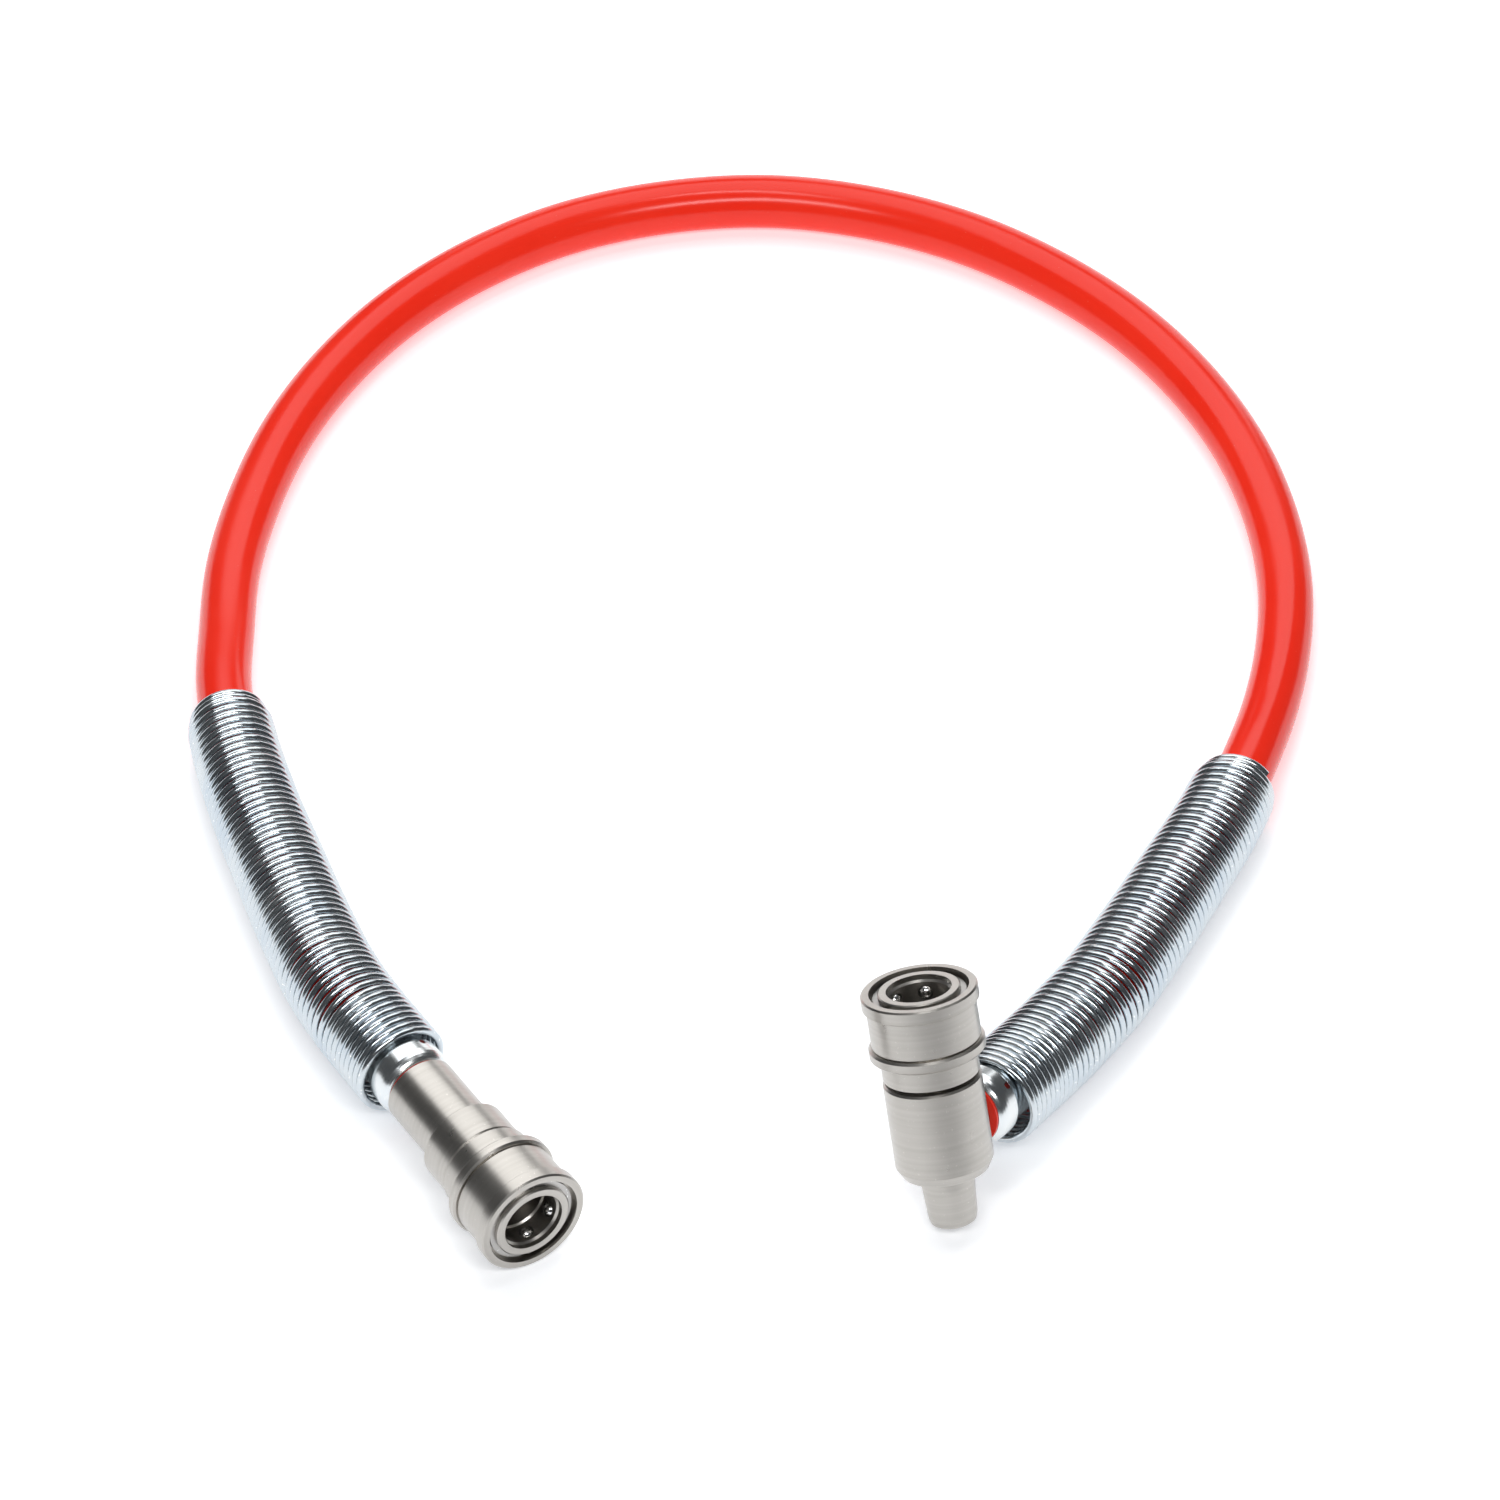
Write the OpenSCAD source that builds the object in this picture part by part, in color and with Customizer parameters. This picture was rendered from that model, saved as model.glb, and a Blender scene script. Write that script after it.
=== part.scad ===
// Hydraulic hose assembly: a red high pressure hose with a straight quick
// coupling on one end and an elbow quick coupling on the other.
// Units are millimetres. Z is up and the floor is at z = 0.

/* [Hose] */
// outside radius of the hose cover
hose_r = 7; // [6:0.1:8.5]
// thickness of the cover and of the wire layer under it
layer_wall = 1.1; // [0.8:0.05:1.3]
// bore radius of the liner
liner_bore_r = 3.45; // [3.3:0.05:4.15]

/* [Socket] */
// radius of the deep bore that the nipple seals in
seal_bore_r = 7; // [6:0.05:8.5]
// thickness from the socket's neck out to the collar's lip
collar_wall = 2.4; // [2:0.1:3.5]
// length of the sliding collar
collar_length = 16.3; // [14:0.1:20]
// how far the collar slides back
collar_stroke = 4.5; // [3:0.1:5]
// radius of a locking ball
ball_r = 1.75; // [1.5:0.05:2.1]
// how far a ball stands into the bore when locked
ball_reach = 0.8; // [0.5:0.05:1]
// how far the valve's poppet lifts
valve_stroke = 3; // [2:0.1:3.5]

/* [Couplings] */
// radius of the straight coupling's rear barrel
barrel_r = 9; // [8:0.1:11]
// radius of the elbow's body
elbow_r = 11.8; // [11.8:0.1:14]
// radius of the stub under the elbow
stub_r = 6.5; // [5:0.1:8]

/* [Hose ends] */
// outside radius of a ferrule
ferrule_r = 9.5; // [8.6:0.05:11.4]
// wire thickness of a bend guard
guard_wire = 2; // [1.6:0.1:2.4]

/* [Hidden] */

$fn = 96;
running_gap = 0.05;
tiny = 0.02;

// ball seats, by depth from the mouth
ball_depth = 4.5;
ball_bore_r = seal_bore_r + 0.35;
ball_bore_end = 7.2;
lead_r = ball_bore_r + 0.5;
ball_centre_r = ball_bore_r - ball_reach + ball_r;
ball_top_r = ball_centre_r + ball_r;
ball_turn_s = 26;
ball_turn_e = 36;
ball_ratio = 0.2;

// cage: the wall that the balls sit in, with a stop ring in its groove
cage_r = ball_top_r - 0.15;
stop_groove_r = cage_r - 0.8;
stop_groove = [1.2, 2.4];
stop_ring_r = cage_r + 1.3;
neck_r = cage_r + 1.7;
neck_front = collar_length - 2;
neck_end = collar_length + collar_stroke + 1.2;

// collar steps
collar_r = neck_r + collar_wall;
lip_depth = 3.45;
ring_depth = collar_length - 3;
waist_r = collar_r - 0.9;
ring_r = collar_r - 0.1;
mouth_groove_r = collar_r - 2;
groove_depth = 2.6;
pocket_r = neck_r + 0.12;
land_r = cage_r + 0.08;
land_turn = ball_depth + (ball_top_r + running_gap - land_r) / ball_ratio;
land_front = ball_top_r + running_gap + ball_ratio * (ball_depth - groove_depth);
land_end = land_turn + 0.9;

// valve
bore_end = 14.4;
seal_pocket_r = seal_bore_r + 1.5;
seal_pocket_end = 16.6;
seal_set_back = 0.5;
throat_r = 3.6;
seat_start = 18;
seat_end = 20;
chamber_r = 5.5;
spigot_r = 8;
spigot_end = neck_end + 8;
poppet_r = chamber_r - 0.15;
poppet_tail = spigot_end - valve_stroke - 3;
flow_r = 3;

// straight coupling's rear barrel
shoulder_r = 11.1;
shoulder_end = spigot_end + 2.2;
straight_s0 = spigot_end + 10;

// elbow body, by height over the port's axis
port_depth = spigot_end + 8.4;
block_top = port_depth - neck_end - 0.9;
block_base = -8.6;
block_chamfer_r = 1.3;
plug_thread_r = 5;
plug_thread_top = block_base + 5.5;
stub_drop = 14.1;
stub_rim_r = stub_r - 2;

// placing: the straight mouth faces -Y, the elbow leans on its stub
elbow_turn = [-18, 12.5, 24.5];
lean = acos(cos(elbow_turn.x) * cos(elbow_turn.y));
stub_lift = 0.25;
elbow_z = (stub_drop - block_base) * cos(lean) + stub_rim_r * sin(lean) + stub_lift;
straight_at = [-58.1, -15.5, collar_r];
elbow_at = [34, -49.5, elbow_z];

// hose end, by distance s along the hose axis from the port centre
body_face_s = 12.3;
insert_thread_r = 6;
neck_bore_r = 4.2;
mark_ring_r = 8;
mark_ring_end_s = 12.9;
ferrule_start_s = 13;
ferrule_neck_r = 7.6;
ferrule_round_s = 16.4;
ferrule_waist_s = 20;
ferrule_body_r = hose_r + 1.3;
hose_start_s = 17.05;
ferrule_end_s = 38;
stem_r = liner_bore_r - 0.2;
stem_end_s = 36;
feed_r = 1.2;
witness_s = 18.8;
witness_r = 0.9;

// hose layers share the cover's rings, so they never cross
sides = 12;
wire_r = hose_r - layer_wall;
core_r = wire_r - layer_wall;

// directions of the two hose ports
straight_dir = [0, 1, 0];
port_dir = [
  cos(elbow_turn.z) * cos(elbow_turn.y), sin(elbow_turn.z) * cos(elbow_turn.y), -sin(elbow_turn.y)
];

// the hose as it lies on the floor, from the straight end to the elbow end
function along_s(s) = straight_at + straight_dir * (straight_s0 + s);
function along_e(s) = elbow_at + port_dir * s;
route = [
  along_s(hose_start_s), along_s(18.5), along_s(30), along_s(40),
  [-56.5, 81.5, 13.2], [-53, 98, 12.3], [-47, 122.5, 11.4], [-40.5, 147.5, 10.7],
  [-31.5, 174, 9.8], [-24.5, 189.5, 8.9], [-13.5, 207.5, 7.6], [1, 229, 7],
  [19, 249, 7], [39.5, 267, 7], [62.5, 281.5, 7], [87.5, 292, 7], [114, 297.5, 7],
  [141.5, 297.5, 7], [167.5, 291, 7], [192, 278.5, 7], [212, 260.5, 7], [228, 238, 7],
  [238.5, 213, 7], [244.5, 186.5, 7], [245.5, 159.5, 7], [242, 132.5, 7], [234, 106.5, 7],
  [222, 82, 7], [206, 60, 7], [193.5, 46.5, 7.5], [180, 34, 8.8],
  [156.5, 15.5, 9.8], [136.5, 2.5, 10.8], [115, -11, 11.3], [100.5, -19.5, 11.6], [85, -26.5, 12],
  along_e(40), along_e(31), along_e(23), along_e(hose_start_s)
];

// non-uniform Catmull-Rom through the route points
last = len(route) - 1;
function gap(i) = norm(route[i + 1] - route[i]);
function slope(i) =
  i == 0 ? (route[1] - route[0]) / gap(0) :
  i == last ? (route[last] - route[last - 1]) / gap(last - 1) :
  ((route[i + 1] - route[i]) / gap(i) * gap(i - 1)
    + (route[i] - route[i - 1]) / gap(i - 1) * gap(i)) / (gap(i) + gap(i - 1));
function on_route(i, u) =
  route[i] * (2 * u * u * u - 3 * u * u + 1)
  + slope(i) * gap(i) * (u * u * u - 2 * u * u + u)
  + route[i + 1] * (3 * u * u - 2 * u * u * u)
  + slope(i + 1) * gap(i) * (u * u * u - u * u);
path = [
  for (i = [0 : last - 1]) for (u = gap(i) > 20 ? [0, 0.5] : [0]) on_route(i, u),
  route[last]
];
ends = len(path) - 1;

// frames carried along the path
function unit(v) = v / norm(v);
function tangent(i) =
  i == 0 ? unit(path[1] - path[0]) :
  i == ends ? unit(path[ends] - path[ends - 1]) :
  unit(unit(path[i + 1] - path[i]) + unit(path[i] - path[i - 1]));
function side_of(i) = unit(cross(tangent(i), [0, 0, 1]));
function ring_at(i, r, n) = [
  for (k = [0 : n - 1])
    path[i] + r * (cos(360 * k / n) * side_of(i)
      + sin(360 * k / n) * cross(side_of(i), tangent(i)))
];
function travel(i) = i == 0 ? 0 : travel(i - 1) + norm(path[i] - path[i - 1]);

// two skins joined at both ends: a pipe with a wall
module pipe(first, final, outer, inner, n) {
  count = final - first + 1;
  skin = count * n;
  points = concat(
    [for (i = [0 : count - 1]) each ring_at(first + i, outer[i], n)],
    [for (i = [0 : count - 1]) each ring_at(first + i, inner[i], n)]
  );
  walls = [
    for (i = [0 : count - 2]) for (k = [0 : n - 1]) for (f = [0, 1])
      let (a = i * n + k, b = i * n + (k + 1) % n, c = a + n, d = b + n, o = f * skin)
        each f == 0
          ? [[o + a, o + c, o + b], [o + b, o + c, o + d]]
          : [[o + a, o + b, o + c], [o + b, o + d, o + c]]
  ];
  top = (count - 1) * n;
  rims = [
    for (k = [0 : n - 1])
      let (b = (k + 1) % n)
        each [
          [k, b, skin + b], [k, skin + b, skin + k],
          [top + k, skin + top + b, top + b], [top + k, skin + top + k, skin + top + b]
        ]
  ];
  polyhedron(points, concat(walls, rims), 10);
}

// placing modules
module at_straight() {
  translate(straight_at) rotate([-90, 0, 0]) children();
}

module at_elbow() {
  translate(elbow_at) rotate(elbow_turn) children();
}

module at_elbow_mouth() {
  at_elbow() translate([0, 0, port_depth]) rotate([180, 0, 0]) children();
}

module at_straight_hose() {
  at_straight() translate([0, 0, straight_s0]) children();
}

module at_elbow_hose() {
  at_elbow() rotate([0, 90, 0]) children();
}

module tube(r, bore, z0, z1) {
  difference() {
    translate([0, 0, z0]) cylinder(r = r, h = z1 - z0);
    translate([0, 0, z0 - 1]) cylinder(r = bore, h = z1 - z0 + 2);
  }
}

// shared socket parts, drawn with the mouth at z = 0 and depth along +Z
module cage(ball_turn) {
  difference() {
    rotate_extrude() polygon([
      [lead_r, 0], [cage_r - 0.3, 0], [cage_r, 0.3], [cage_r, stop_groove[0]],
      [stop_groove_r, stop_groove[0]], [stop_groove_r, stop_groove[1]], [cage_r, stop_groove[1]],
      [cage_r, neck_front], [neck_r - 0.4, neck_front],
      [neck_r, neck_front + 0.4], [neck_r, neck_end - 0.3], [neck_r - 0.3, neck_end],
      [spigot_r, neck_end], [spigot_r, spigot_end], [chamber_r, spigot_end],
      [chamber_r, seat_end], [throat_r, seat_start], [throat_r, seal_pocket_end],
      [seal_pocket_r, seal_pocket_end], [seal_pocket_r, bore_end], [seal_bore_r, bore_end],
      [seal_bore_r, ball_bore_end + 0.5], [ball_bore_r, ball_bore_end],
      [ball_bore_r, 1.8], [lead_r, 1.3]
    ]);
    for (k = [0 : 5])
      rotate([0, 0, ball_turn + 60 * k])
        translate([0, 0, ball_depth])
          rotate([0, 90, 0])
            cylinder(r = ball_r + running_gap, h = cage_r + 1, $fn = 48);
  }
}

module collar() {
  rotate_extrude() polygon([
    [mouth_groove_r, 0], [collar_r - 0.4, 0], [collar_r, 0.4], [collar_r, lip_depth - 0.3],
    [collar_r - 0.3, lip_depth], [waist_r, lip_depth], [waist_r, ring_depth - 0.5],
    [waist_r - 0.35, ring_depth], [ring_r - 0.5, ring_depth], [ring_r, ring_depth + 0.5],
    [ring_r, collar_length - 0.6], [ring_r - 0.6, collar_length],
    [pocket_r, collar_length], [pocket_r, land_end], [land_r, land_end], [land_r, land_turn],
    [land_front, groove_depth], [mouth_groove_r, groove_depth]
  ]);
}

module stop_ring() {
  split = 1.8;
  difference() {
    tube(stop_ring_r, stop_groove_r + tiny, stop_groove[0] + running_gap, stop_groove[1] - running_gap);
    translate([0, -split / 2, 0]) cube([stop_ring_r + 1, split, 4]);
  }
}

module ball(turn) {
  rotate([0, 0, turn]) translate([ball_centre_r, 0, ball_depth]) sphere(r = ball_r, $fn = 40);
}

module bore_seal() {
  tube(seal_pocket_r - tiny, seal_bore_r + seal_set_back, bore_end + running_gap,
    seal_pocket_end - running_gap);
}

module poppet() {
  difference() {
    rotate_extrude() polygon([
      [0, seat_start - 2.8], [2, seat_start - 2.8], [2.4, seat_start - 2.4], [2.4, seat_start - 0.6],
      [throat_r - 0.1, seat_start + 0.1], [poppet_r, seat_end + 0.1],
      [poppet_r, poppet_tail], [3.2, poppet_tail], [3.2, poppet_tail - 2.5], [0, poppet_tail - 2.5]
    ]);
    for (k = [0 : 3])
      rotate([0, 0, 90 * k + 45])
        translate([poppet_r, 0, seat_end - 1])
          cylinder(r = 1, h = poppet_tail, $fn = 32);
  }
}

// a coil spring with a round wire
module coil(mean_r, wire_r, z0, z1, turns, per_turn) {
  steps = turns * per_turn;
  low = z0 + wire_r;
  rise = z1 - z0 - 2 * wire_r;
  n = 8;
  points = [
    for (i = [0 : steps]) for (k = [0 : n - 1])
      let (a = 360 * i / per_turn, w = 360 * k / n, q = mean_r + wire_r * cos(w))
        [q * cos(a), q * sin(a), low + rise * i / steps + wire_r * sin(w)]
  ];
  walls = [
    for (i = [0 : steps - 1]) for (k = [0 : n - 1])
      let (a = i * n + k, b = i * n + (k + 1) % n)
        each [[a, b, a + n], [b, b + n, a + n]]
  ];
  caps = [
    [for (k = [n - 1 : -1 : 0]) k],
    [for (k = [0 : n - 1]) steps * n + k]
  ];
  polyhedron(points, concat(walls, caps), 10);
}

module return_spring() {
  coil((cage_r + pocket_r) / 2, 0.5, land_end + 0.1, neck_front - 0.1, 2.5, 24);
}

module valve_spring() {
  coil(4.5, 0.4, poppet_tail + 0.1, spigot_end - 0.1, 2.5, 20);
}

// bodies
module barrel() {
  front = neck_end + 0.4;
  back = straight_s0 + body_face_s;
  thread_start = straight_s0 + 7.5;
  rotate_extrude() polygon([
    [flow_r, spigot_end + tiny], [spigot_r + tiny, spigot_end + tiny], [spigot_r + tiny, front],
    [shoulder_r - 0.4, front], [shoulder_r, front + 0.4], [shoulder_r, shoulder_end - 0.4],
    [shoulder_r - 0.4, shoulder_end], [barrel_r, shoulder_end], [barrel_r, back - 0.3],
    [barrel_r - 0.3, back], [insert_thread_r + tiny, back],
    [insert_thread_r + tiny, thread_start], [flow_r, thread_start]
  ]);
}

module elbow_block() {
  spigot_seat = port_depth - spigot_end - tiny;
  difference() {
    rotate_extrude() polygon([
      [0, block_base], [elbow_r - block_chamfer_r, block_base], [elbow_r, block_base + 2.4],
      [elbow_r, block_top - 0.5], [elbow_r - 0.5, block_top], [0, block_top]
    ]);
    translate([0, 0, spigot_seat]) cylinder(r = spigot_r + tiny, h = 20);
    translate([0, 0, -flow_r]) cylinder(r = flow_r, h = 20);
    translate([0, 0, block_base - 1]) cylinder(r = plug_thread_r + tiny, h = 6.6 + tiny);
    rotate([0, 90, 0]) cylinder(r = flow_r - 0.4, h = 20);
    translate([7.5, 0, 0]) rotate([0, 90, 0]) cylinder(r = insert_thread_r + tiny, h = 20);
  }
}

module plug() {
  rotate_extrude() polygon([
    [0, plug_thread_top], [plug_thread_r - 0.4, plug_thread_top],
    [plug_thread_r, plug_thread_top - 0.4], [plug_thread_r, block_base - tiny],
    [stub_r, block_base - tiny], [stub_r - 0.1, block_base - 4], [stub_r - 0.6, block_base - 12],
    [stub_r - 1, block_base - 13.4], [stub_rim_r, block_base - stub_drop],
    [0, block_base - stub_drop - 0.2]
  ]);
}

// hose end parts, drawn along +Z by distance s
module insert() {
  rotate_extrude() polygon([
    [feed_r, 7.6], [insert_thread_r - 0.4, 7.6], [insert_thread_r, 8],
    [insert_thread_r, body_face_s - tiny], [neck_bore_r, body_face_s - tiny],
    [neck_bore_r, hose_start_s - 0.25], [stem_r, hose_start_s - 0.25],
    [stem_r, stem_end_s - 1], [stem_r - 0.6, stem_end_s], [feed_r, stem_end_s]
  ]);
}

module mark_ring() {
  tube(mark_ring_r, neck_bore_r + tiny, body_face_s + tiny, mark_ring_end_s);
}

module ferrule(witness_turn) {
  rise = ferrule_r - ferrule_neck_r;
  run = ferrule_round_s - ferrule_start_s;
  difference() {
    rotate_extrude() polygon(concat(
      [[neck_bore_r + tiny, ferrule_start_s]],
      [for (a = [0 : 15 : 90]) [ferrule_neck_r + rise * sin(a), ferrule_round_s - run * cos(a)]],
      [
        [ferrule_r, ferrule_waist_s - 0.6], [ferrule_r - 0.6, ferrule_waist_s],
        [ferrule_body_r, ferrule_waist_s], [ferrule_body_r, ferrule_end_s - 0.6],
        [ferrule_body_r - 0.6, ferrule_end_s],
        [hose_r + tiny, ferrule_end_s], [hose_r + tiny, hose_start_s - 0.2],
        [neck_bore_r + tiny, hose_start_s - 0.2]
      ]
    ));
    rotate([0, 0, witness_turn])
      translate([ferrule_body_r, 0, witness_s])
        rotate([0, 90, 0])
          cylinder(r = witness_r, h = 2 * (ferrule_r - hose_r) + 1, center = true, $fn = 32);
  }
}

// bend guards: the coil's envelope, thinner towards its free end
guard_r = ferrule_r + guard_wire + 0.5;
guard_tip_r = hose_r + guard_wire + 0.25;
guard_n = 16;
guard_tip_s = 11;
guard_tip_e = ends - 11;

function guard_outer(i, root, tip) =
  guard_r - (guard_r - guard_tip_r)
    * pow((travel(i) - travel(root)) / (travel(tip) - travel(root)), 2);

module guard(root, tip) {
  low = min(root, tip);
  high = max(root, tip);
  outer = [for (i = [low : high]) guard_outer(i, root, tip)];
  inner = [for (r = outer) r - guard_wire];
  pipe(low, high, outer, inner, guard_n);
}

// straight coupling
module cage_s() {
  color("silver") at_straight() cage(ball_turn_s);
}

module rear_body() {
  color("silver") at_straight() barrel();
}

module collar_s() {
  color("gainsboro") at_straight() collar();
}

module stop_ring_s() {
  color("lightgrey") at_straight() rotate([0, 0, 100]) stop_ring();
}

module return_spring_s() {
  color("grey") at_straight() return_spring();
}

module ball_s1() {
  color("white") at_straight() ball(ball_turn_s);
}

module ball_s2() {
  color("white") at_straight() ball(ball_turn_s + 60);
}

module ball_s3() {
  color("white") at_straight() ball(ball_turn_s + 120);
}

module ball_s4() {
  color("white") at_straight() ball(ball_turn_s + 180);
}

module ball_s5() {
  color("white") at_straight() ball(ball_turn_s + 240);
}

module ball_s6() {
  color("white") at_straight() ball(ball_turn_s + 300);
}

module bore_seal_s() {
  color("black") at_straight() bore_seal();
}

module poppet_s() {
  color("darkgrey") at_straight() poppet();
}

module valve_spring_s() {
  color("grey") at_straight() valve_spring();
}

// elbow coupling
module cage_e() {
  color("silver") at_elbow_mouth() cage(ball_turn_e);
}

module elbow_body() {
  color("silver") at_elbow() elbow_block();
}

module end_plug() {
  color("silver") at_elbow() plug();
}

module collar_e() {
  color("gainsboro") at_elbow_mouth() collar();
}

module stop_ring_e() {
  color("lightgrey") at_elbow_mouth() rotate([0, 0, 200]) stop_ring();
}

module return_spring_e() {
  color("grey") at_elbow_mouth() return_spring();
}

module ball_e1() {
  color("white") at_elbow_mouth() ball(ball_turn_e);
}

module ball_e2() {
  color("white") at_elbow_mouth() ball(ball_turn_e + 60);
}

module ball_e3() {
  color("white") at_elbow_mouth() ball(ball_turn_e + 120);
}

module ball_e4() {
  color("white") at_elbow_mouth() ball(ball_turn_e + 180);
}

module ball_e5() {
  color("white") at_elbow_mouth() ball(ball_turn_e + 240);
}

module ball_e6() {
  color("white") at_elbow_mouth() ball(ball_turn_e + 300);
}

module bore_seal_e() {
  color("black") at_elbow_mouth() bore_seal();
}

module poppet_e() {
  color("darkgrey") at_elbow_mouth() poppet();
}

module valve_spring_e() {
  color("grey") at_elbow_mouth() valve_spring();
}

// hose ends
module insert_s() {
  color("silver") at_straight_hose() insert();
}

module mark_ring_s() {
  color("red") at_straight_hose() mark_ring();
}

module ferrule_s() {
  color("lightblue") at_straight_hose() ferrule(-61);
}

module insert_e() {
  color("silver") at_elbow_hose() insert();
}

module mark_ring_e() {
  color("red") at_elbow_hose() mark_ring();
}

module ferrule_e() {
  color("lightblue") at_elbow_hose() ferrule(-124);
}

// hose layers
module layer(outer, inner) {
  pipe(0, ends, [for (i = [0 : ends]) outer], [for (i = [0 : ends]) inner], sides);
}

module hose_cover() {
  color("red") layer(hose_r, wire_r + tiny);
}

module wire_layer() {
  color("dimgrey") layer(wire_r, core_r + tiny);
}

module liner() {
  color("ivory") layer(core_r, liner_bore_r);
}

module guard_s() {
  color("lightblue") guard(1, guard_tip_s);
}

module guard_e() {
  color("lightblue") guard(ends - 1, guard_tip_e);
}

cage_s();
rear_body();
collar_s();
stop_ring_s();
return_spring_s();
ball_s1();
ball_s2();
ball_s3();
ball_s4();
ball_s5();
ball_s6();
bore_seal_s();
poppet_s();
valve_spring_s();
cage_e();
elbow_body();
end_plug();
collar_e();
stop_ring_e();
return_spring_e();
ball_e1();
ball_e2();
ball_e3();
ball_e4();
ball_e5();
ball_e6();
bore_seal_e();
poppet_e();
valve_spring_e();
insert_s();
mark_ring_s();
ferrule_s();
insert_e();
mark_ring_e();
ferrule_e();
hose_cover();
wire_layer();
liner();
guard_s();
guard_e();
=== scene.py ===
import math

import bpy
from mathutils import Euler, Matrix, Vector


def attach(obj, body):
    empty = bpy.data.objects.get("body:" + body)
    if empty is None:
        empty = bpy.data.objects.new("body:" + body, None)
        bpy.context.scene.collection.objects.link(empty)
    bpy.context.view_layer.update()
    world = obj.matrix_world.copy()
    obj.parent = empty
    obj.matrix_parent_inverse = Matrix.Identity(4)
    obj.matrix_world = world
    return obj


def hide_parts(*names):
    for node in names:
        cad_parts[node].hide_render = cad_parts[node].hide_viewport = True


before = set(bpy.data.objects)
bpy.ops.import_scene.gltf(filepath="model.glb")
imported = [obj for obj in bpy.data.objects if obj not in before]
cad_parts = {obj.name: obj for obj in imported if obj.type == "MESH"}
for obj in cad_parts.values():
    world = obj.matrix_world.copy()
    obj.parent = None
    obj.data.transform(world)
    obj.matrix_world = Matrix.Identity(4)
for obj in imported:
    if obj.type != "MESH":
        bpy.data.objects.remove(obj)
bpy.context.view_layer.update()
mm = 0.001

# camera: a long lens from above and behind the mouth of the straight coupling
camera = {"aim": (0.0795, 0.1085, 0.0), "azimuth": -32, "elevation": 43, "distance": 2.6,
          "lens": 250.7, "sensor": 36, "near": 0.05, "far": 30}


def addCamera(c):
    turn, rise = math.radians(c["azimuth"]), math.radians(c["elevation"])
    back = Vector((math.sin(turn) * math.cos(rise), -math.cos(turn) * math.cos(rise), math.sin(rise)))
    data = bpy.data.cameras.new("camera")
    data.lens, data.sensor_width = c["lens"], c["sensor"]
    data.clip_start, data.clip_end = c["near"], c["far"]
    seat = bpy.data.objects.new("camera", data)
    seat.location = Vector(c["aim"]) + back * c["distance"]
    seat.rotation_euler = (-back).to_track_quat("-Z", "Y").to_euler()
    bpy.context.scene.collection.objects.link(seat)
    bpy.context.scene.camera = seat


addCamera(camera)
print("camera set")


def turnBy(*angles):
    return Euler([math.radians(a) for a in angles]).to_matrix()


# where the two couplings sit, in millimetres, as in the part's source
straight = {"at": Vector((-58.1, -15.5, 14)), "turn": turnBy(-90, 0, 0), "hoseAt": 40}
elbow = {"at": Vector((34, -49.5, 22.998)), "turn": turnBy(-18, 12.5, 24.5)}
portDir = elbow["turn"] @ Vector((1, 0, 0))


def alongStraight(s):
    return straight["at"] + Vector((0, straight["hoseAt"] + s, 0))


def alongElbow(s):
    return elbow["at"] + portDir * s


hose = {"radius": 7, "start": 17.05, "ferruleEnd": 38, "around": 48, "step": 2.0,
        "girth": 0.044}  # round the cover, in metres, so that its texture isn't stretched
route = [
    alongStraight(hose["start"]), alongStraight(18.5), alongStraight(30), alongStraight(40),
    (-56.5, 81.5, 13.2), (-53, 98, 12.3), (-47, 122.5, 11.4), (-40.5, 147.5, 10.7),
    (-31.5, 174, 9.8), (-24.5, 189.5, 8.9), (-13.5, 207.5, 7.6), (1, 229, 7),
    (19, 249, 7), (39.5, 267, 7), (62.5, 281.5, 7), (87.5, 292, 7), (114, 297.5, 7),
    (141.5, 297.5, 7), (167.5, 291, 7), (192, 278.5, 7), (212, 260.5, 7), (228, 238, 7),
    (238.5, 213, 7), (244.5, 186.5, 7), (245.5, 159.5, 7), (242, 132.5, 7), (234, 106.5, 7),
    (222, 82, 7), (206, 60, 7), (193.5, 46.5, 7.5), (180, 34, 8.8),
    (156.5, 15.5, 9.8), (136.5, 2.5, 10.8), (115, -11, 11.3), (100.5, -19.5, 11.6), (85, -26.5, 12),
    alongElbow(40), alongElbow(31), alongElbow(23), alongElbow(hose["start"]),
]
route = [Vector(p) * mm for p in route]


# a smooth curve through the points, with its own points about a step apart
def smoothPath(points, step):
    gaps = [(b - a).length for a, b in zip(points, points[1:])]
    slopes = []
    for i, p in enumerate(points):
        ahead = (points[i + 1] - p) / gaps[i] if i < len(gaps) else None
        behind = (p - points[i - 1]) / gaps[i - 1] if i else None
        if ahead is None or behind is None:
            slopes.append(ahead or behind)
        else:
            slopes.append((ahead * gaps[i - 1] + behind * gaps[i]) / (gaps[i] + gaps[i - 1]))
    path = []
    for i, gap in enumerate(gaps):
        count = max(2, round(gap / step))
        for k in range(count):
            u = k / count
            path.append(points[i] * (2 * u**3 - 3 * u * u + 1) + slopes[i] * gap * (u**3 - 2 * u * u + u)
                        + points[i + 1] * (3 * u * u - 2 * u**3) + slopes[i + 1] * gap * (u**3 - u * u))
    return path + [points[-1]]


def travelled(path):
    total, out = 0.0, [0.0]
    for a, b in zip(path, path[1:]):
        total += (b - a).length
        out.append(total)
    return out


def newPiece(name, points, faces, smooth=True):
    mesh = bpy.data.meshes.new(name)
    mesh.from_pydata([tuple(p) for p in points], [], faces)
    mesh.validate()
    if smooth:
        mesh.polygons.foreach_set("use_smooth", [True] * len(mesh.polygons))
    piece = bpy.data.objects.new(name, mesh)
    bpy.context.scene.collection.objects.link(piece)
    return piece


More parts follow.
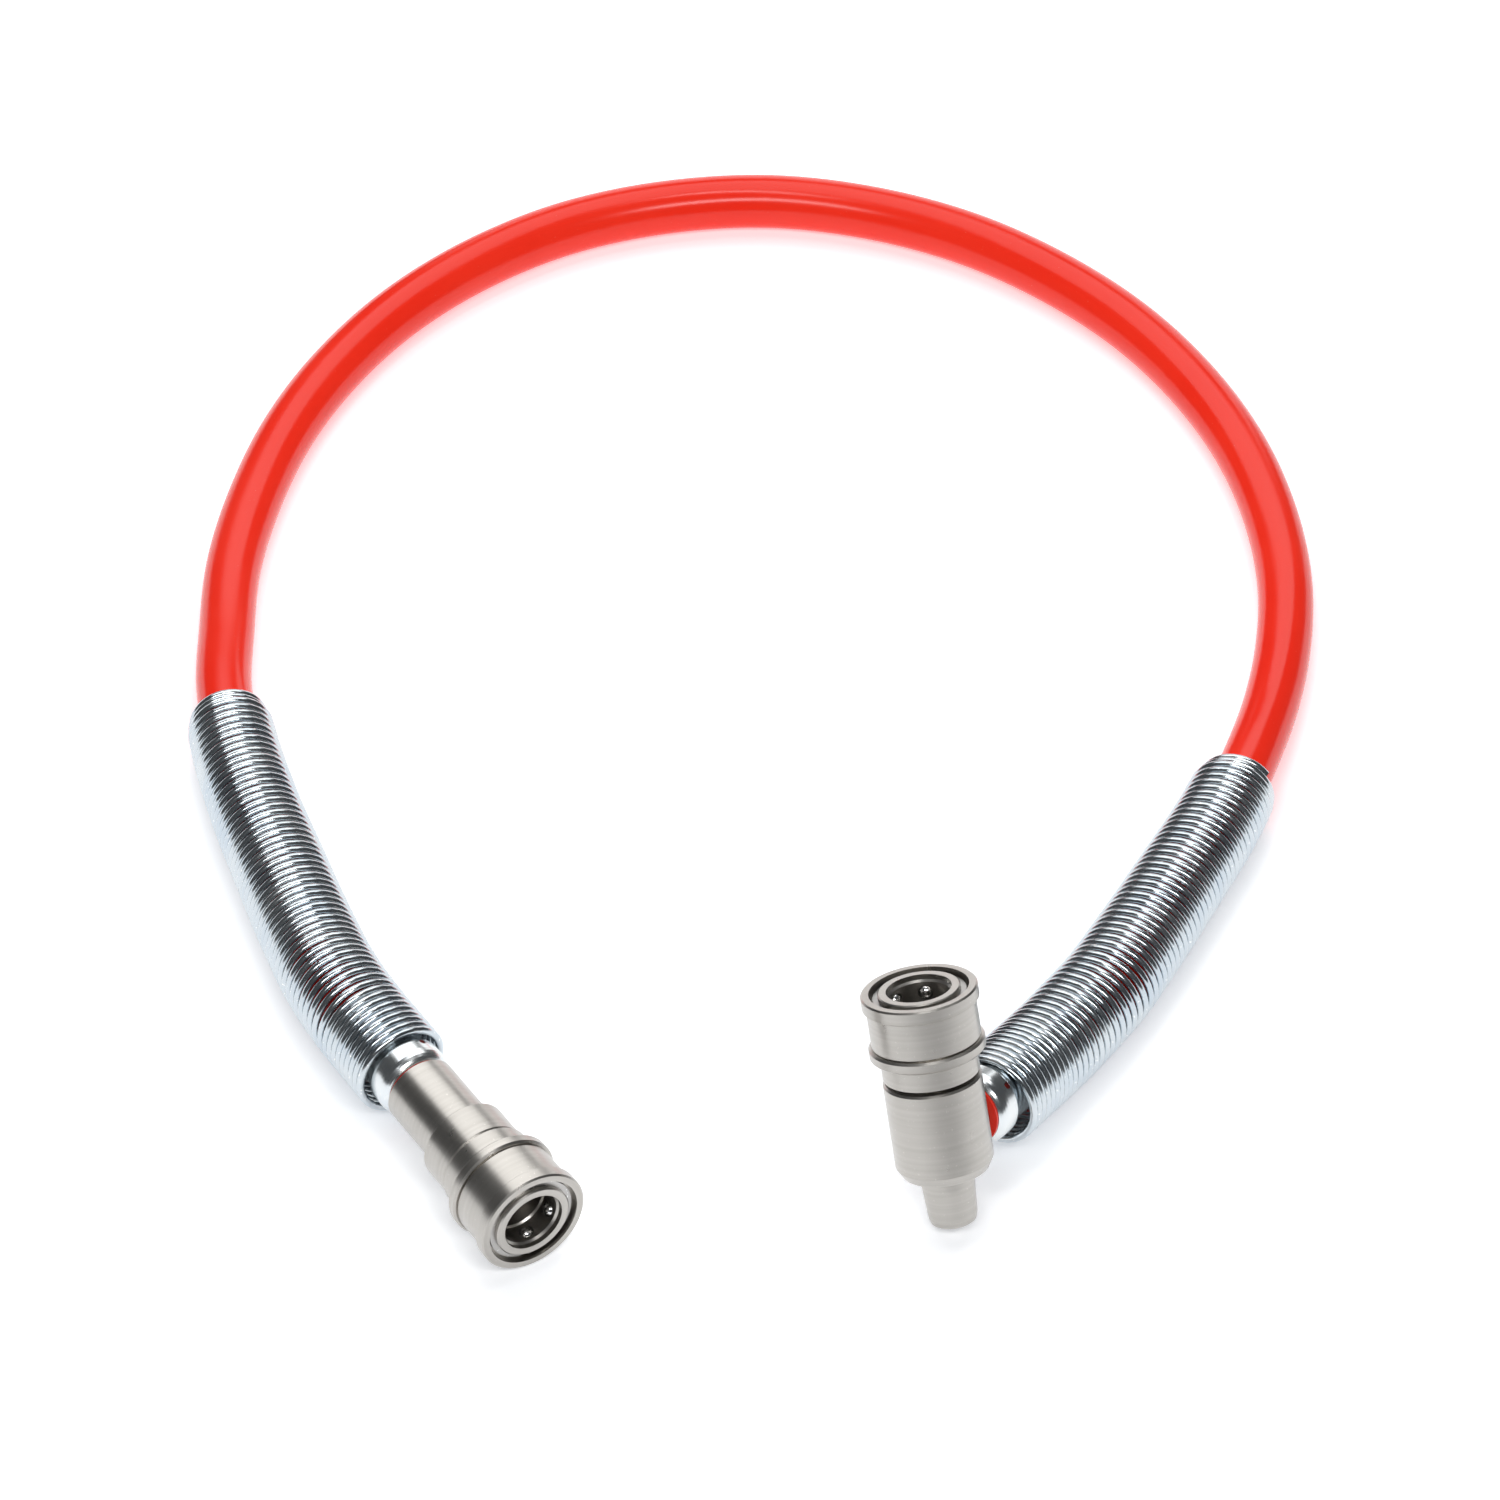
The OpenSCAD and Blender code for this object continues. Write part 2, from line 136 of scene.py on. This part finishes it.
# a round tube along a path, with a UV in metres along the hose and turns round it
def sweepTube(name, path, radius, around):
    points, faces, uvs = [], [], []
    travel = travelled(path)
    n = around
    for i, p in enumerate(path):
        tangent = (path[min(i + 1, len(path) - 1)] - path[max(i - 1, 0)]).normalized()
        side = tangent.cross(Vector((0, 0, 1))).normalized()
        up = side.cross(tangent)
        for k in range(n):
            a = 2 * math.pi * k / n
            points.append(p + radius * (math.cos(a) * side + math.sin(a) * up))
    for i in range(len(path) - 1):
        for k in range(n):
            a, b = i * n + k, i * n + (k + 1) % n
            faces.append((a, a + n, b + n, b))
            uvs += [(k / n, travel[i]), (k / n, travel[i + 1])]
            uvs += [((k + 1) / n, travel[i + 1]), ((k + 1) / n, travel[i])]
    last = (len(path) - 1) * n
    faces.append(tuple(range(n)))
    faces.append(tuple(last + k for k in reversed(range(n))))
    uvs += [(k / n, 0) for k in range(n)] + [(k / n, travel[-1]) for k in reversed(range(n))]
    piece = newPiece(name, points, faces)
    layer = piece.data.uv_layers.new(name="alongHose")
    layer.data.foreach_set("uv", [c for uv in uvs for c in uv])
    return piece


hosePath = smoothPath(route, hose["step"] * mm)
hoseTravel = travelled(hosePath)
hoseTube = sweepTube("hoseCover", hosePath, hose["radius"] * mm, hose["around"])
print("hose swept,", round(hoseTravel[-1], 4), "m long")

# bend guards: one wire each, wound close at the coupling and open towards the tip
guard = {
    "wire": 1.95, "couplingRadius": 12.3, "shoulderRadius": 10.8, "tipRadius": 9.9,
    "closeTurns": 9, "closePitch": 2.03, "openPitch": 2.42,
    "taperPower": 1.6,  # how late the coil narrows
    "drawInAt": 0.955,  # share of the length where the last turns draw in
    "droopRun": 45,  # how far from the coupling the slack reaches
    "sides": 10, "pointsPerTurn": 30,
}
guardEnds = {
    "guardStraight": {"node": "guard_s", "fromEnd": False, "start": 2.2, "length": 138,
                      "droop": 0.7, "turn": 40},
    "guardElbow": {"node": "guard_e", "fromEnd": True, "start": 5.95, "length": 134.5,
                   "droop": 2.0, "turn": 200},
}
lineSlack = 0.001  # mm, so that a point just before the start still counts


# the hose's own line under a guard, let down at the coupling because the coil is loose
def guardLine(end):
    total = hoseTravel[-1]
    points = list(zip(hoseTravel, hosePath))
    if end["fromEnd"]:
        points = [(total - s, p) for s, p in reversed(points)]
    line = []
    for s, p in points:
        run = s / mm - end["start"]
        if -lineSlack <= run <= end["length"]:
            slack = max(0.0, 1 - run / guard["droopRun"]) ** 2 * end["droop"]
            line.append(p - Vector((0, 0, slack * mm)))
    return line


def link(tree, source, target):
    tree.links.new(source, target)


def addMath(tree, operation, first, second=None):
    node = tree.nodes.new("ShaderNodeMath")
    node.operation = operation
    for socket, value in zip(node.inputs, (first, second)):
        if value is None:
            continue
        if isinstance(value, (int, float)):
            socket.default_value = value
        else:
            tree.links.new(value, socket)
    return node.outputs[0]


def coilTree():
    tree = bpy.data.node_groups.new("windCoil", "GeometryNodeTree")
    face = tree.interface
    face.new_socket("Geometry", in_out="INPUT", socket_type="NodeSocketGeometry")
    for name, value in (("Wire Radius", 0.001), ("Coupling Radius", 0.012), ("Shoulder Radius", 0.0105),
                        ("Tip Radius", 0.0097), ("Close Length", 0.018), ("Close Pitch", 0.00203),
                        ("Open Pitch", 0.0024), ("Start Angle", 0.0)):
        face.new_socket(name, in_out="INPUT", socket_type="NodeSocketFloat").default_value = value
    for name, value in (("Points", 1800), ("Wire Sides", 10)):
        face.new_socket(name, in_out="INPUT", socket_type="NodeSocketInt").default_value = value
    face.new_socket("Material", in_out="INPUT", socket_type="NodeSocketMaterial")
    face.new_socket("Geometry", in_out="OUTPUT", socket_type="NodeSocketGeometry")
    n = tree.nodes
    start, end = n.new("NodeGroupInput"), n.new("NodeGroupOutput")
    size = start.outputs

    resample = n.new("GeometryNodeResampleCurve")
    link(tree, size["Geometry"], resample.inputs["Curve"])
    link(tree, size["Points"], resample.inputs["Count"])
    place = n.new("GeometryNodeSplineParameter")
    along, share = place.outputs["Length"], place.outputs["Factor"]

    # turns wound so far, close pitch first
    close = addMath(tree, "DIVIDE", addMath(tree, "MINIMUM", along, size["Close Length"]), size["Close Pitch"])
    rest = addMath(tree, "MAXIMUM", addMath(tree, "SUBTRACT", along, size["Close Length"]), 0.0)
    turns = addMath(tree, "ADD", close, addMath(tree, "DIVIDE", rest, size["Open Pitch"]))
    angle = addMath(tree, "ADD", addMath(tree, "MULTIPLY", turns, 2 * math.pi), size["Start Angle"])

    # radius of the wire's middle: a slow taper, then the last turns draw in
    taper = addMath(tree, "POWER", share, guard["taperPower"])
    drop = addMath(tree, "SUBTRACT", size["Coupling Radius"], size["Shoulder Radius"])
    outer = addMath(tree, "SUBTRACT", size["Coupling Radius"], addMath(tree, "MULTIPLY", taper, drop))
    draw = n.new("ShaderNodeMapRange")
    draw.interpolation_type = "SMOOTHSTEP"
    link(tree, share, draw.inputs["Value"])
    draw.inputs["From Min"].default_value = guard["drawInAt"]
    draw.inputs["From Max"].default_value = 1.0
    pull = addMath(tree, "SUBTRACT", size["Shoulder Radius"], size["Tip Radius"])
    outer = addMath(tree, "SUBTRACT", outer, addMath(tree, "MULTIPLY", draw.outputs["Result"], pull))
    middle = addMath(tree, "SUBTRACT", outer, size["Wire Radius"])

    # where the coil is fatter than the hose is high, it lies on the floor and the hose sits low in it
    spot = n.new("ShaderNodeSeparateXYZ")
    link(tree, n.new("GeometryNodeInputPosition").outputs[0], spot.inputs[0])
    short = addMath(tree, "MAXIMUM", addMath(tree, "SUBTRACT", outer, spot.outputs["Z"]), 0.0)
    lift = n.new("ShaderNodeCombineXYZ")
    link(tree, short, lift.inputs["Z"])

    tangent = n.new("GeometryNodeInputTangent").outputs[0]
    normal = n.new("GeometryNodeInputNormal").outputs[0]
    across = n.new("ShaderNodeVectorMath")
    across.operation = "CROSS_PRODUCT"
    link(tree, tangent, across.inputs[0])
    link(tree, normal, across.inputs[1])
    arms = []
    for direction, wave in ((normal, "COSINE"), (across.outputs[0], "SINE")):
        arm = n.new("ShaderNodeVectorMath")
        arm.operation = "SCALE"
        link(tree, direction, arm.inputs[0])
        link(tree, addMath(tree, "MULTIPLY", middle, addMath(tree, wave, angle)), arm.inputs["Scale"])
        arms.append(arm.outputs[0])
    offset = n.new("ShaderNodeVectorMath")
    offset.operation = "MULTIPLY_ADD"
    link(tree, arms[0], offset.inputs[0])
    offset.inputs[1].default_value = (1, 1, 1)
    ride = n.new("ShaderNodeVectorMath")
    link(tree, arms[1], ride.inputs[0])
    link(tree, lift.outputs[0], ride.inputs[1])
    link(tree, ride.outputs[0], offset.inputs[2])

    wind = n.new("GeometryNodeSetPosition")
    link(tree, resample.outputs["Curve"], wind.inputs["Geometry"])
    link(tree, offset.outputs[0], wind.inputs["Offset"])
    section = n.new("GeometryNodeCurvePrimitiveCircle")
    link(tree, size["Wire Sides"], section.inputs["Resolution"])
    link(tree, size["Wire Radius"], section.inputs["Radius"])
    steady = n.new("GeometryNodeSetCurveNormal")
    steady.mode = "MINIMUM_TWIST"
    link(tree, wind.outputs["Geometry"], steady.inputs["Curve"])
    wire = n.new("GeometryNodeCurveToMesh")
    link(tree, steady.outputs["Curve"], wire.inputs["Curve"])
    link(tree, section.outputs["Curve"], wire.inputs["Profile Curve"])
    wire.inputs["Fill Caps"].default_value = True
    smooth = n.new("GeometryNodeSetShadeSmooth")
    link(tree, wire.outputs["Mesh"], smooth.inputs["Geometry"])
    real = n.new("GeometryNodeRealizeInstances")
    link(tree, smooth.outputs["Geometry"], real.inputs["Geometry"])
    finish = n.new("GeometryNodeSetMaterial")
    link(tree, real.outputs["Geometry"], finish.inputs["Geometry"])
    link(tree, size["Material"], finish.inputs["Material"])
    link(tree, finish.outputs["Geometry"], end.inputs["Geometry"])
    return tree


# a curve of one open spline through the points
def lineCurve(name, points):
    data = bpy.data.curves.new(name, "CURVE")
    data.dimensions = "3D"
    data.twist_mode = "Z_UP"
    spline = data.splines.new("POLY")
    spline.points.add(len(points) - 1)
    spline.points.foreach_set("co", [c for p in points for c in (*p, 1.0)])
    piece = bpy.data.objects.new(name, data)
    bpy.context.scene.collection.objects.link(piece)
    return piece


# runs a tree on an object and keeps the result as a plain mesh
def realised(name, base, tree, values):
    maker = base.modifiers.new("make", "NODES")
    maker.node_group = tree
    sockets = {s.name: s.identifier for s in tree.interface.items_tree if s.in_out == "INPUT"}
    for key, value in values.items():
        maker[sockets[key]] = value
    bpy.context.view_layer.update()
    mesh = bpy.data.meshes.new_from_object(base.evaluated_get(bpy.context.evaluated_depsgraph_get()))
    mesh.name = name
    piece = bpy.data.objects.new(name, mesh)
    bpy.context.scene.collection.objects.link(piece)
    bpy.data.objects.remove(base)
    return piece


windCoil = coilTree()


def windGuard(name, end, material):
    g = guard
    line = lineCurve(name + "Line", guardLine(end))
    return realised(name, line, windCoil, {
        "Wire Radius": g["wire"] / 2 * mm, "Coupling Radius": g["couplingRadius"] * mm,
        "Shoulder Radius": g["shoulderRadius"] * mm, "Tip Radius": g["tipRadius"] * mm,
        "Close Length": g["closeTurns"] * g["closePitch"] * mm, "Close Pitch": g["closePitch"] * mm,
        "Open Pitch": g["openPitch"] * mm, "Start Angle": math.radians(end["turn"]),
        "Points": round(end["length"] / g["closePitch"] * g["pointsPerTurn"]), "Wire Sides": g["sides"],
        "Material": material})


# shader groups shared by several finishes
def shaderGroup(name, inputs, outputs):
    group = bpy.data.node_groups.new(name, "ShaderNodeTree")
    for label, kind, value in inputs:
        socket = group.interface.new_socket(label, in_out="INPUT", socket_type="NodeSocket" + kind)
        if value is not None:
            socket.default_value = value
    for label, kind in outputs:
        group.interface.new_socket(label, in_out="OUTPUT", socket_type="NodeSocket" + kind)
    return group, group.nodes.new("NodeGroupInput").outputs, group.nodes.new("NodeGroupOutput").inputs


def addNoise(tree, vector, scale, detail=3.0, roughness=0.5):
    node = tree.nodes.new("ShaderNodeTexNoise")
    tree.links.new(vector, node.inputs["Vector"])
    for key, value in (("Scale", scale), ("Detail", detail), ("Roughness", roughness)):
        if isinstance(value, (int, float)):
            node.inputs[key].default_value = value
        else:
            tree.links.new(value, node.inputs[key])
    return node.outputs["Fac"]


noiseSpan = (0.3, 0.7)  # where nearly all of a noise's values lie


def addRange(tree, value, fromLow, fromHigh, toLow=0.0, toHigh=1.0):
    node = tree.nodes.new("ShaderNodeMapRange")
    tree.links.new(value, node.inputs["Value"])
    limits = (("From Min", fromLow), ("From Max", fromHigh), ("To Min", toLow), ("To Max", toHigh))
    for key, number in limits:
        if isinstance(number, (int, float)):
            node.inputs[key].default_value = number
        else:
            tree.links.new(number, node.inputs[key])
    return node.outputs["Result"]


def addMix(tree, factor, first, second):
    node = tree.nodes.new("ShaderNodeMix")
    node.data_type = "RGBA"
    tree.links.new(factor, node.inputs["Factor"])
    for socket, value in ((node.inputs["A"], first), (node.inputs["B"], second)):
        if isinstance(value, tuple):
            socket.default_value = value
        else:
            tree.links.new(value, socket)
    return node.outputs["Result"]


# soft cloudy change of a value, as on handled metal
def cloudGroup():
    group, inp, out = shaderGroup("cloudiness", [("Vector", "Vector", None), ("Size", "Float", 120.0),
                                                 ("Low", "Float", 0.2), ("High", "Float", 0.4)],
                                  [("Value", "Float"), ("Mask", "Float")])
    cloud = addNoise(group, inp["Vector"], inp["Size"], detail=4.0, roughness=0.55)
    mask = addRange(group, cloud, *noiseSpan)
    link(group, addRange(group, mask, 0.0, 1.0, inp["Low"], inp["High"]), out["Value"])
    link(group, mask, out["Mask"])
    return group


# rings left by the lathe, across the piece's own Z
def latheGroup():
    group, inp, out = shaderGroup("latheRings", [("Vector", "Vector", None), ("Rings per mm", "Float", 6.0)],
                                  [("Height", "Float"), ("Shade", "Float")])
    mmPerMetre = 1 / mm
    split = group.nodes.new("ShaderNodeSeparateXYZ")
    link(group, inp["Vector"], split.inputs[0])
    deep = addMath(group, "MULTIPLY", split.outputs["Z"], mmPerMetre)
    flat = group.nodes.new("ShaderNodeCombineXYZ")
    link(group, split.outputs["X"], flat.inputs["X"])
    link(group, split.outputs["Y"], flat.inputs["Y"])
    fromAxis = group.nodes.new("ShaderNodeVectorMath")
    fromAxis.operation = "LENGTH"
    link(group, flat.outputs[0], fromAxis.inputs[0])
    radial = addMath(group, "MULTIPLY", fromAxis.outputs["Value"], mmPerMetre)
    run = addMath(group, "ADD", deep, radial)
    line = group.nodes.new("ShaderNodeCombineXYZ")
    link(group, addMath(group, "MULTIPLY", run, inp["Rings per mm"]), line.inputs["X"])
    fine = addNoise(group, line.outputs[0], 1.0, detail=2.0, roughness=0.6)
    wide = addNoise(group, line.outputs[0], 0.16, detail=1.0, roughness=0.5)
    fineShare = addMath(group, "MULTIPLY", fine, 0.7)
    wideShare = addMath(group, "MULTIPLY", wide, 0.5)
    link(group, addMath(group, "ADD", fineShare, wideShare), out["Height"])
    link(group, addRange(group, wide, *noiseSpan), out["Shade"])
    return group


# small bright nicks and dust
def speckGroup():
    group, inp, out = shaderGroup("specks", [("Vector", "Vector", None), ("Size", "Float", 900.0),
                                             ("Amount", "Float", 0.1)], [("Mask", "Float")])
    noSpecks, softness = 0.78, 0.05
    grain = addNoise(group, inp["Vector"], inp["Size"], detail=2.0, roughness=0.7)
    edge = addMath(group, "SUBTRACT", noSpecks, inp["Amount"])
    soft = addMath(group, "ADD", edge, softness)
    link(group, addRange(group, grain, edge, soft), out["Mask"])
    return group


clouds, lathe, specks = cloudGroup(), latheGroup(), speckGroup()


def addGroup(tree, group, vector, **values):
    node = tree.nodes.new("ShaderNodeGroup")
    node.node_tree = group
    tree.links.new(vector, node.inputs["Vector"])
    for key, value in values.items():
        node.inputs[key.replace("_", " ")].default_value = value
    return node.outputs


def startMaterial(name):
    material = bpy.data.materials.new(name)
    material.use_nodes = True
    tree = material.node_tree
    tree.nodes.clear()
    shader = tree.nodes.new("ShaderNodeBsdfPrincipled")
    end = tree.nodes.new("ShaderNodeOutputMaterial")
    tree.links.new(shader.outputs[0], end.inputs["Surface"])
    return material, tree, shader.inputs


# object coordinates, or the same measured from a coupling's own seat and axis
def objectPlace(tree, seat=None):
    coords = tree.nodes.new("ShaderNodeTexCoord").outputs["Object"]
    if seat is None:
        return coords
    shift = tree.nodes.new("ShaderNodeVectorMath")
    shift.operation = "SUBTRACT"
    tree.links.new(coords, shift.inputs[0])
    shift.inputs[1].default_value = seat["at"] * mm
    mapping = tree.nodes.new("ShaderNodeMapping")
    mapping.vector_type = "POINT"
    mapping.inputs["Rotation"].default_value = seat["turn"].inverted().to_euler()
    tree.links.new(shift.outputs[0], mapping.inputs["Vector"])
    return mapping.outputs[0]


def addBump(tree, height, target, strength, distance):
    bump = tree.nodes.new("ShaderNodeBump")
    bump.inputs["Strength"].default_value = strength
    bump.inputs["Distance"].default_value = distance
    tree.links.new(height, bump.inputs["Height"])
    tree.links.new(bump.outputs["Normal"], target)


# turned metal: warm grey steel with lathe rings round the coupling's own axis
def turnedMetal(name, seat, dark, light, rough):
    material, tree, shader = startMaterial(name)
    place = objectPlace(tree, seat)
    ring = addGroup(tree, lathe, place, Rings_per_mm=5.0)
    cloud = addGroup(tree, clouds, place, Size=160.0, Low=rough[0], High=rough[1])
    nick = addGroup(tree, specks, place, Size=1400.0, Amount=0.1)
    nickGlint = 1.25
    glint = tuple(min(1, c * nickGlint) for c in light[:3]) + (1,)
    base = addMix(tree, ring["Shade"], dark, light)
    link(tree, addMix(tree, nick["Mask"], base, glint), shader["Base Color"])
    shader["Metallic"].default_value = 1.0
    link(tree, cloud["Value"], shader["Roughness"])
    addBump(tree, ring["Height"], shader["Normal"], strength=0.12, distance=0.00004)
    return material


# bright zinc plate: bluish, with faint yellow clouds
def zincPlate(name, rough, tint):
    material, tree, shader = startMaterial(name)
    place = objectPlace(tree)
    cloud = addGroup(tree, clouds, place, Size=90.0, Low=rough[0], High=rough[1])
    nick = addGroup(tree, specks, place, Size=1100.0, Amount=0.12)
    base = addMix(tree, cloud["Mask"], tint[0], tint[1])
    link(tree, addMix(tree, nick["Mask"], base, (0.9, 0.9, 0.88, 1)), shader["Base Color"])
    shader["Metallic"].default_value = 1.0
    link(tree, cloud["Value"], shader["Roughness"])
    grain = addNoise(tree, place, 500.0, detail=2.0)
    addBump(tree, grain, shader["Normal"], strength=0.06, distance=0.00005)
    return material


# smooth plastic skin of the hose, read along its own UV
def hosePlastic():
    material, tree, shader = startMaterial("redCover")
    uv = tree.nodes.new("ShaderNodeUVMap")
    uv.uv_map = "alongHose"
    stretch = tree.nodes.new("ShaderNodeVectorMath")
    stretch.operation = "MULTIPLY"
    tree.links.new(uv.outputs[0], stretch.inputs[0])
    stretch.inputs[1].default_value = (hose["girth"], 1.0, 0.0)
    place = objectPlace(tree)
    cloud = addGroup(tree, clouds, place, Size=25.0, Low=0.16, High=0.24)
    dust = addGroup(tree, specks, place, Size=1500.0, Amount=0.06)
    base = addMix(tree, cloud["Mask"], (0.93, 0.026, 0.010, 1), (0.96, 0.034, 0.014, 1))
    link(tree, addMix(tree, dust["Mask"], base, (0.95, 0.12, 0.08, 1)), shader["Base Color"])
    link(tree, cloud["Value"], shader["Roughness"])
    shader["Specular IOR Level"].default_value = 0.32
    ripple = addNoise(tree, stretch.outputs[0], 160.0, detail=2.0)
    addBump(tree, ripple, shader["Normal"], strength=0.08, distance=0.0002)
    return material


# rings, seals and the inner tube
def plainPlastic(name, low, high, rough, grain):
    material, tree, shader = startMaterial(name)
    place = objectPlace(tree)
    cloud = addGroup(tree, clouds, place, Size=grain, Low=rough[0], High=rough[1])
    link(tree, addMix(tree, cloud["Mask"], low, high), shader["Base Color"])
    link(tree, cloud["Value"], shader["Roughness"])
    skin = addNoise(tree, place, 1800.0, detail=2.0)
    addBump(tree, skin, shader["Normal"], strength=0.1, distance=0.00005)
    return material


# brass-plated wire laid in spirals
def laidWire():
    material, tree, shader = startMaterial("spiralWire")
    place = objectPlace(tree)
    wave = tree.nodes.new("ShaderNodeTexWave")
    tree.links.new(place, wave.inputs["Vector"])
    wave.inputs["Scale"].default_value = 900.0
    wave.inputs["Distortion"].default_value = 2.0
    brassDark, brassLight = (0.25, 0.22, 0.16, 1), (0.6, 0.54, 0.42, 1)
    link(tree, addMix(tree, wave.outputs["Fac"], brassDark, brassLight), shader["Base Color"])
    shader["Metallic"].default_value = 1.0
    cloud = addGroup(tree, clouds, place, Size=200.0, Low=0.3, High=0.5)
    link(tree, cloud["Value"], shader["Roughness"])
    addBump(tree, wave.outputs["Fac"], shader["Normal"], strength=0.3, distance=0.0001)
    return material


steelDark, steelLight = (0.44, 0.42, 0.39, 1), (0.49, 0.47, 0.44, 1)
groundDark, groundLight = (0.4, 0.39, 0.38, 1), (0.55, 0.54, 0.52, 1)
finishes = {
    "steelStraight": turnedMetal("turnedSteelStraight", straight, steelDark, steelLight, (0.27, 0.33)),
    "steelElbow": turnedMetal("turnedSteelElbow", elbow, steelDark, steelLight, (0.27, 0.33)),
    "groundStraight": turnedMetal("groundSteelStraight", straight, groundDark, groundLight, (0.15, 0.25)),
    "groundElbow": turnedMetal("groundSteelElbow", elbow, groundDark, groundLight, (0.15, 0.25)),
    "ball": zincPlate("polishedBall", (0.05, 0.09), ((0.8, 0.8, 0.8, 1), (0.86, 0.86, 0.85, 1))),
    "guard": zincPlate("zincWire", (0.13, 0.22), ((0.52, 0.58, 0.63, 1), (0.62, 0.66, 0.68, 1))),
    "ferrule": zincPlate("zincFerrule", (0.16, 0.26), ((0.66, 0.71, 0.75, 1), (0.77, 0.79, 0.78, 1))),
    "springWire": zincPlate("springWire", (0.25, 0.4), ((0.4, 0.39, 0.38, 1), (0.5, 0.49, 0.47, 1))),
    "cover": hosePlastic(),
    "mark": plainPlastic("redRing", (0.92, 0.028, 0.012, 1), (0.95, 0.04, 0.018, 1), (0.3, 0.42), 300.0),
    "liner": plainPlastic("linerPlastic", (0.74, 0.71, 0.62, 1), (0.8, 0.78, 0.7, 1), (0.4, 0.5), 120.0),
    "seal": plainPlastic("sealRubber", (0.012, 0.012, 0.013, 1), (0.03, 0.03, 0.032, 1), (0.45, 0.6), 400.0),
    "wire": laidWire(),
}
print("finishes made:", len(finishes))


def paint(names, finish):
    for name in names:
        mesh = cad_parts[name].data
        mesh.materials.clear()
        mesh.materials.append(finishes[finish])


paint(["cage_s", "rear_body", "collar_s"], "steelStraight")
paint(["cage_e", "elbow_body", "end_plug", "collar_e"], "steelElbow")
paint(["poppet_s", "insert_s"], "groundStraight")
paint(["poppet_e", "insert_e"], "groundElbow")
paint([f"ball_{end}{k}" for end in "se" for k in range(1, 7)], "ball")
for part in ("return_spring", "valve_spring", "stop_ring"):
    paint([part + "_s", part + "_e"], "springWire")
paint(["bore_seal_s", "bore_seal_e"], "seal")
paint(["mark_ring_s", "mark_ring_e"], "mark")
paint(["ferrule_s", "ferrule_e"], "ferrule")
paint(["wire_layer"], "wire")
paint(["liner"], "liner")

for name, end in guardEnds.items():
    coil = windGuard(name, end, finishes["guard"])
    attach(coil, "hose_assembly")
    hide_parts(end["node"])

hoseTube.data.materials.append(finishes["cover"])
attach(hoseTube, "hose_assembly")
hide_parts("hose_cover")


# studio: a lit white table, one large softbox behind, small ones overhead and by the camera
studio = {
    "middle": (0.08, 0.1, 0.0), "table": 0.42, "sky": 0.08, "floorHalf": 8, "floorDrop": 0.0002,
    "boxes": {
        "backBox": {"heading": 24, "rise": 57, "distance": 1.5, "width": 2.0, "height": 1.25, "glow": 1.9},
        "sideBox": {"heading": 40, "rise": 10, "distance": 1.6, "width": 1.15, "height": 0.55, "glow": 1.3},
        "topBox": {"heading": 0, "rise": 89, "distance": 1.6, "width": 0.6, "height": 0.16, "glow": 9.0},
        "cameraBox": {"heading": -148, "rise": 52, "distance": 2.4, "width": 2.0, "height": 0.45, "glow": 10.0},
    },
}


def addFloor():
    half = studio["floorHalf"]
    corners = [(-half, -half, 0), (half, -half, 0), (half, half, 0), (-half, half, 0)]
    floor = newPiece("floor", corners, [(0, 1, 2, 3)], smooth=False)
    material, tree, shader = startMaterial("paleFloor")
    shader["Base Color"].default_value = (0.93, 0.93, 0.93, 1)
    shader["Roughness"].default_value = 0.8
    shader["Specular IOR Level"].default_value = 0.1
    shader["Emission Color"].default_value = (0.92, 0.95, 1.0, 1)
    shader["Emission Strength"].default_value = studio["table"]
    floor.data.materials.append(material)
    floor.location.z = -studio["floorDrop"]


# a softbox of a given radiance, at a heading from +Y towards +X and a height angle
def addSoftbox(name, heading, rise, distance, width, height, glow):
    turn, up = math.radians(heading), math.radians(rise)
    away = Vector((math.sin(turn) * math.cos(up), math.cos(turn) * math.cos(up), math.sin(up)))
    data = bpy.data.lights.new(name, "AREA")
    data.shape, data.size, data.size_y = "RECTANGLE", width, height
    data.energy = glow * math.pi * width * height
    lamp = bpy.data.objects.new(name, data)
    lamp.location = Vector(studio["middle"]) + away * distance
    lamp.rotation_euler = (-away).to_track_quat("-Z", "Y").to_euler()
    bpy.context.scene.collection.objects.link(lamp)


def addSky():
    world = bpy.data.worlds.new("sky")
    bpy.context.scene.world = world
    world.use_nodes = True
    back = world.node_tree.nodes["Background"]
    back.inputs["Color"].default_value = (0.95, 0.97, 1.0, 1)
    back.inputs["Strength"].default_value = studio["sky"]


addFloor()
addSky()
for name, box in studio["boxes"].items():
    addSoftbox(name, **box)
bpy.context.scene.view_settings.view_transform = "Standard"
print("studio lit")
